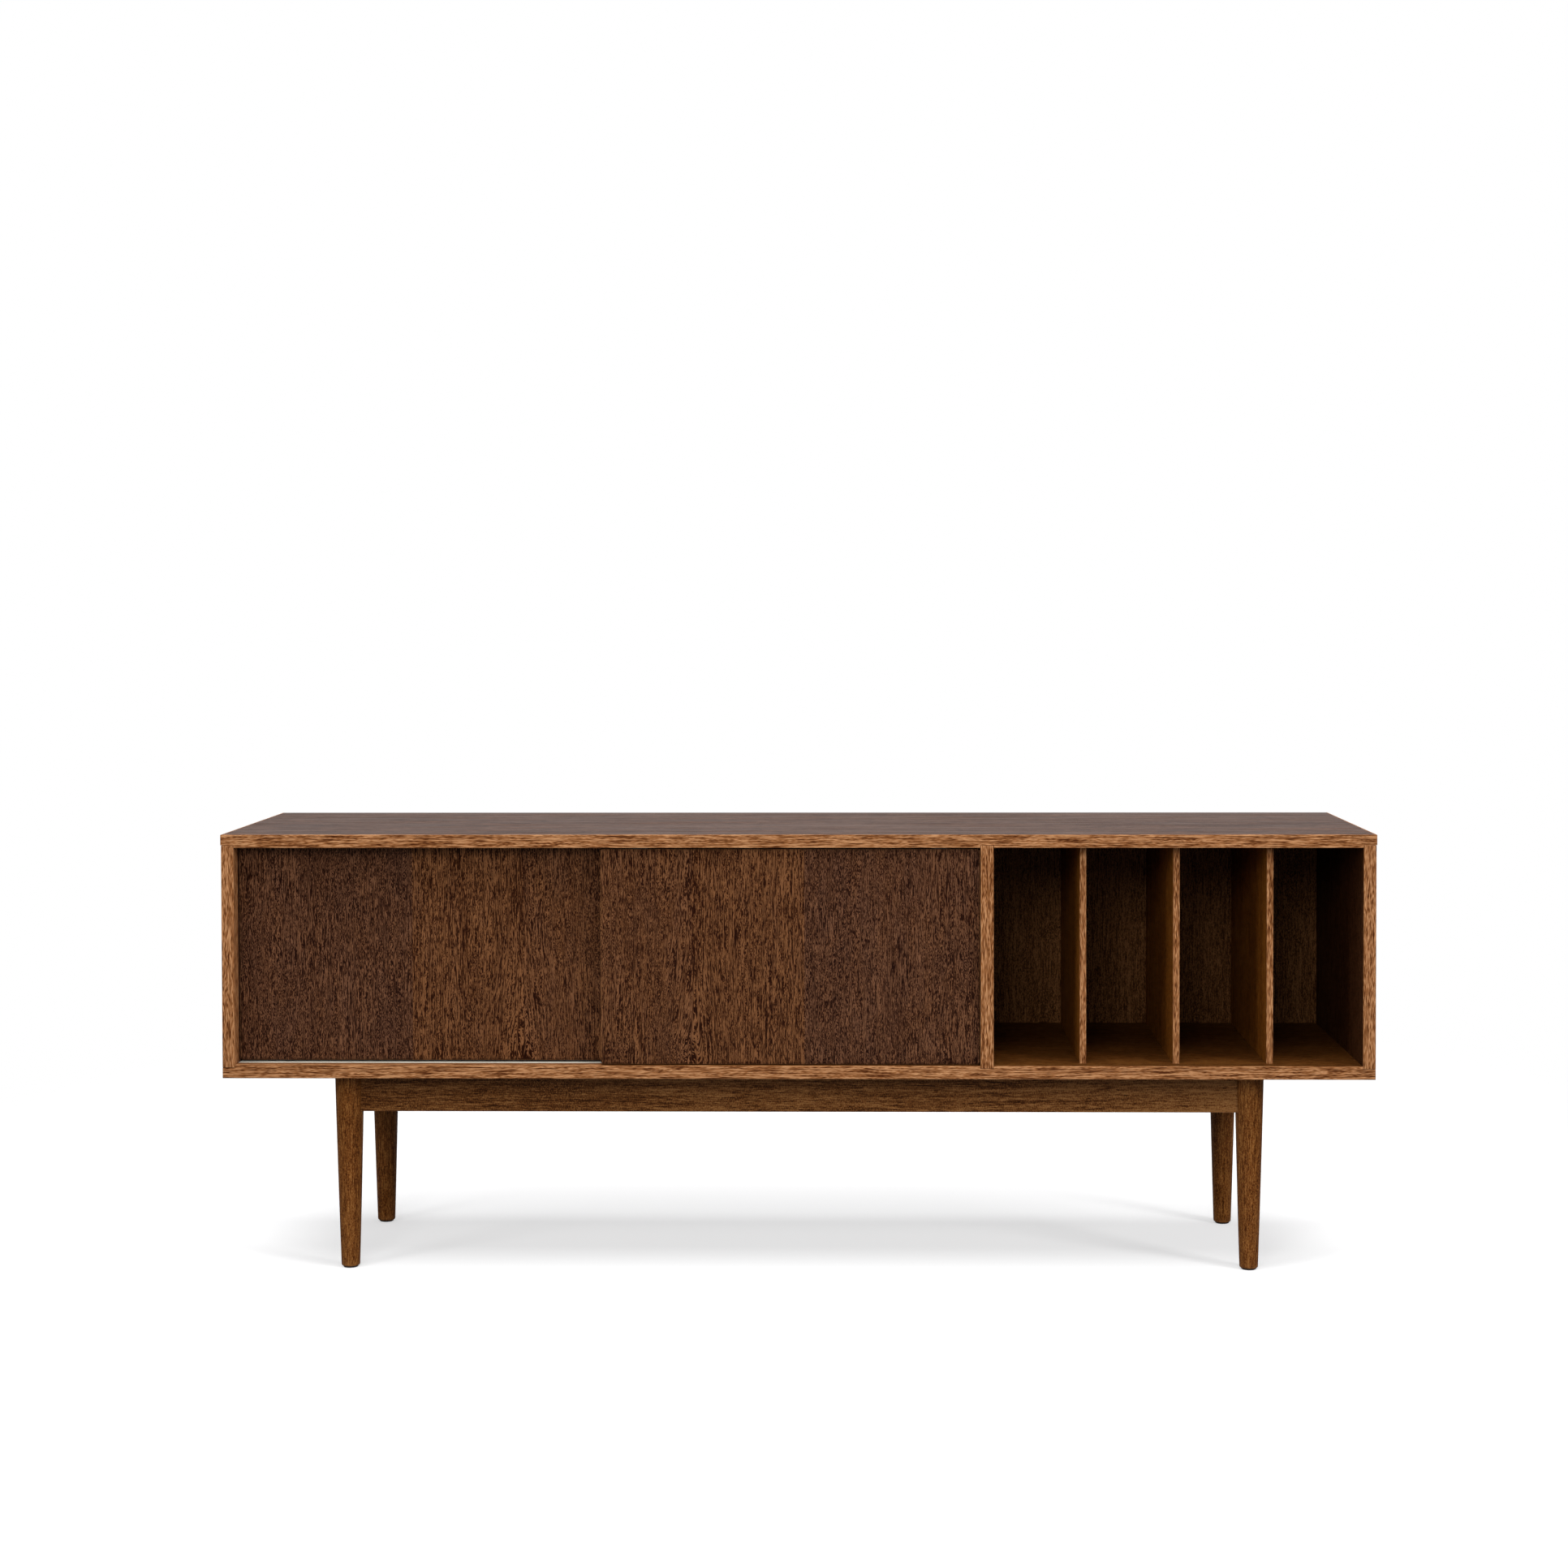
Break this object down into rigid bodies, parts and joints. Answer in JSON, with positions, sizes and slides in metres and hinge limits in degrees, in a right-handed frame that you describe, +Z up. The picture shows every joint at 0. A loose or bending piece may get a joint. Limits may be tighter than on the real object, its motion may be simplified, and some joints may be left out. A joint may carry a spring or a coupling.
{
  "type": "tv sideboard",
  "caption": "Low oak television sideboard with overlapping sliding doors, open upright bays on the right and a turned-leg base.",
  "frame": {"origin": "on the floor, under the middle of the case", "axes": "+X along the width to the right as seen from the front, +Y from the front to the back, +Z up"},
  "size_m": [1.75, 0.42, 0.674],
  "materials": {
    "case_oak": "smoked oak veneer, oiled",
    "door_oak": "dark smoked oak veneer, oiled",
    "inner_oak": "dark smoked oak veneer",
    "solid_oak": "solid smoked oak, oiled",
    "aluminium": "satin anodised",
    "steel": "zinc plated",
    "nylon": "moulded nylon",
    "black_plastic": "moulded plastic"
  },
  "bodies": {
    "case": {"top_panel": "case_oak", "bottom_panel": "case_oak", "left_side_panel": "case_oak", "right_side_panel": "case_oak", "bay_partition": "case_oak", "bay_divider_1": "case_oak", "bay_divider_2": "case_oak", "bay_divider_3": "case_oak", "middle_partition": "inner_oak", "back_panel": "inner_oak", "left_shelf": "inner_oak", "right_shelf": "inner_oak", "left_shelf_pin_front_left": "steel", "left_shelf_pin_front_right": "steel", "left_shelf_pin_rear_left": "steel", "left_shelf_pin_rear_right": "steel", "right_shelf_pin_front_left": "steel", "right_shelf_pin_front_right": "steel", "right_shelf_pin_rear_left": "steel", "right_shelf_pin_rear_right": "steel", "bottom_track": "aluminium", "top_track": "aluminium", "front_left_leg": "solid_oak", "front_right_leg": "solid_oak", "rear_left_leg": "solid_oak", "rear_right_leg": "solid_oak", "front_rail": "solid_oak", "rear_rail": "solid_oak", "left_rail": "solid_oak", "right_rail": "solid_oak", "front_left_corner_block": "solid_oak", "front_right_corner_block": "solid_oak", "rear_left_corner_block": "solid_oak", "rear_right_corner_block": "solid_oak", "front_left_base_bolt": "steel", "front_right_base_bolt": "steel", "rear_left_base_bolt": "steel", "rear_right_base_bolt": "steel", "front_left_foot_glide": "black_plastic", "front_right_foot_glide": "black_plastic", "rear_left_foot_glide": "black_plastic", "rear_right_foot_glide": "black_plastic"},
    "left_door": {"left_door": "door_oak", "left_door_runner_housing_left": "black_plastic", "left_door_runner_housing_right": "black_plastic", "left_door_top_guide_left": "nylon", "left_door_top_guide_right": "nylon"},
    "right_door": {"right_door": "door_oak", "right_door_runner_housing_left": "black_plastic", "right_door_runner_housing_right": "black_plastic", "right_door_top_guide_left": "nylon", "right_door_top_guide_right": "nylon"},
    "left_door_wheel_left": {"left_door_wheel_left": "nylon"},
    "left_door_wheel_right": {"left_door_wheel_right": "nylon"},
    "right_door_wheel_left": {"right_door_wheel_left": "nylon"},
    "right_door_wheel_right": {"right_door_wheel_right": "nylon"}
  },
  "joints": [
    {"name": "left_door_slide", "type": "slide", "parent": "case", "child": "left_door", "axis": [1, 0, 0], "range_m": [0, 0.556]},
    {"name": "right_door_slide", "type": "slide", "parent": "case", "child": "right_door", "axis": [1, 0, 0], "range_m": [-0.556, 0]},
    {"name": "left_door_wheel_left_spin", "type": "hinge", "parent": "left_door", "child": "left_door_wheel_left", "pos_m": [-0.794, -0.1695, 0.3268], "axis": [0, 1, 0], "range_deg": [0, 3985]},
    {"name": "left_door_wheel_right_spin", "type": "hinge", "parent": "left_door", "child": "left_door_wheel_right", "pos_m": [-0.339, -0.1695, 0.3268], "axis": [0, 1, 0], "range_deg": [0, 3985]},
    {"name": "right_door_wheel_left_spin", "type": "hinge", "parent": "right_door", "child": "right_door_wheel_left", "pos_m": [-0.238, -0.1925, 0.3268], "axis": [0, 1, 0], "range_deg": [-3985, 0]},
    {"name": "right_door_wheel_right_spin", "type": "hinge", "parent": "right_door", "child": "right_door_wheel_right", "pos_m": [0.217, -0.1925, 0.3268], "axis": [0, 1, 0], "range_deg": [-3985, 0]}
  ],
  "couplings": [
    {"joint": "left_door_wheel_left_spin", "follows": "left_door_slide", "rad_per_m": 125},
    {"joint": "left_door_wheel_right_spin", "follows": "left_door_slide", "rad_per_m": 125},
    {"joint": "right_door_wheel_left_spin", "follows": "right_door_slide", "rad_per_m": 125},
    {"joint": "right_door_wheel_right_spin", "follows": "right_door_slide", "rad_per_m": 125}
  ]
}
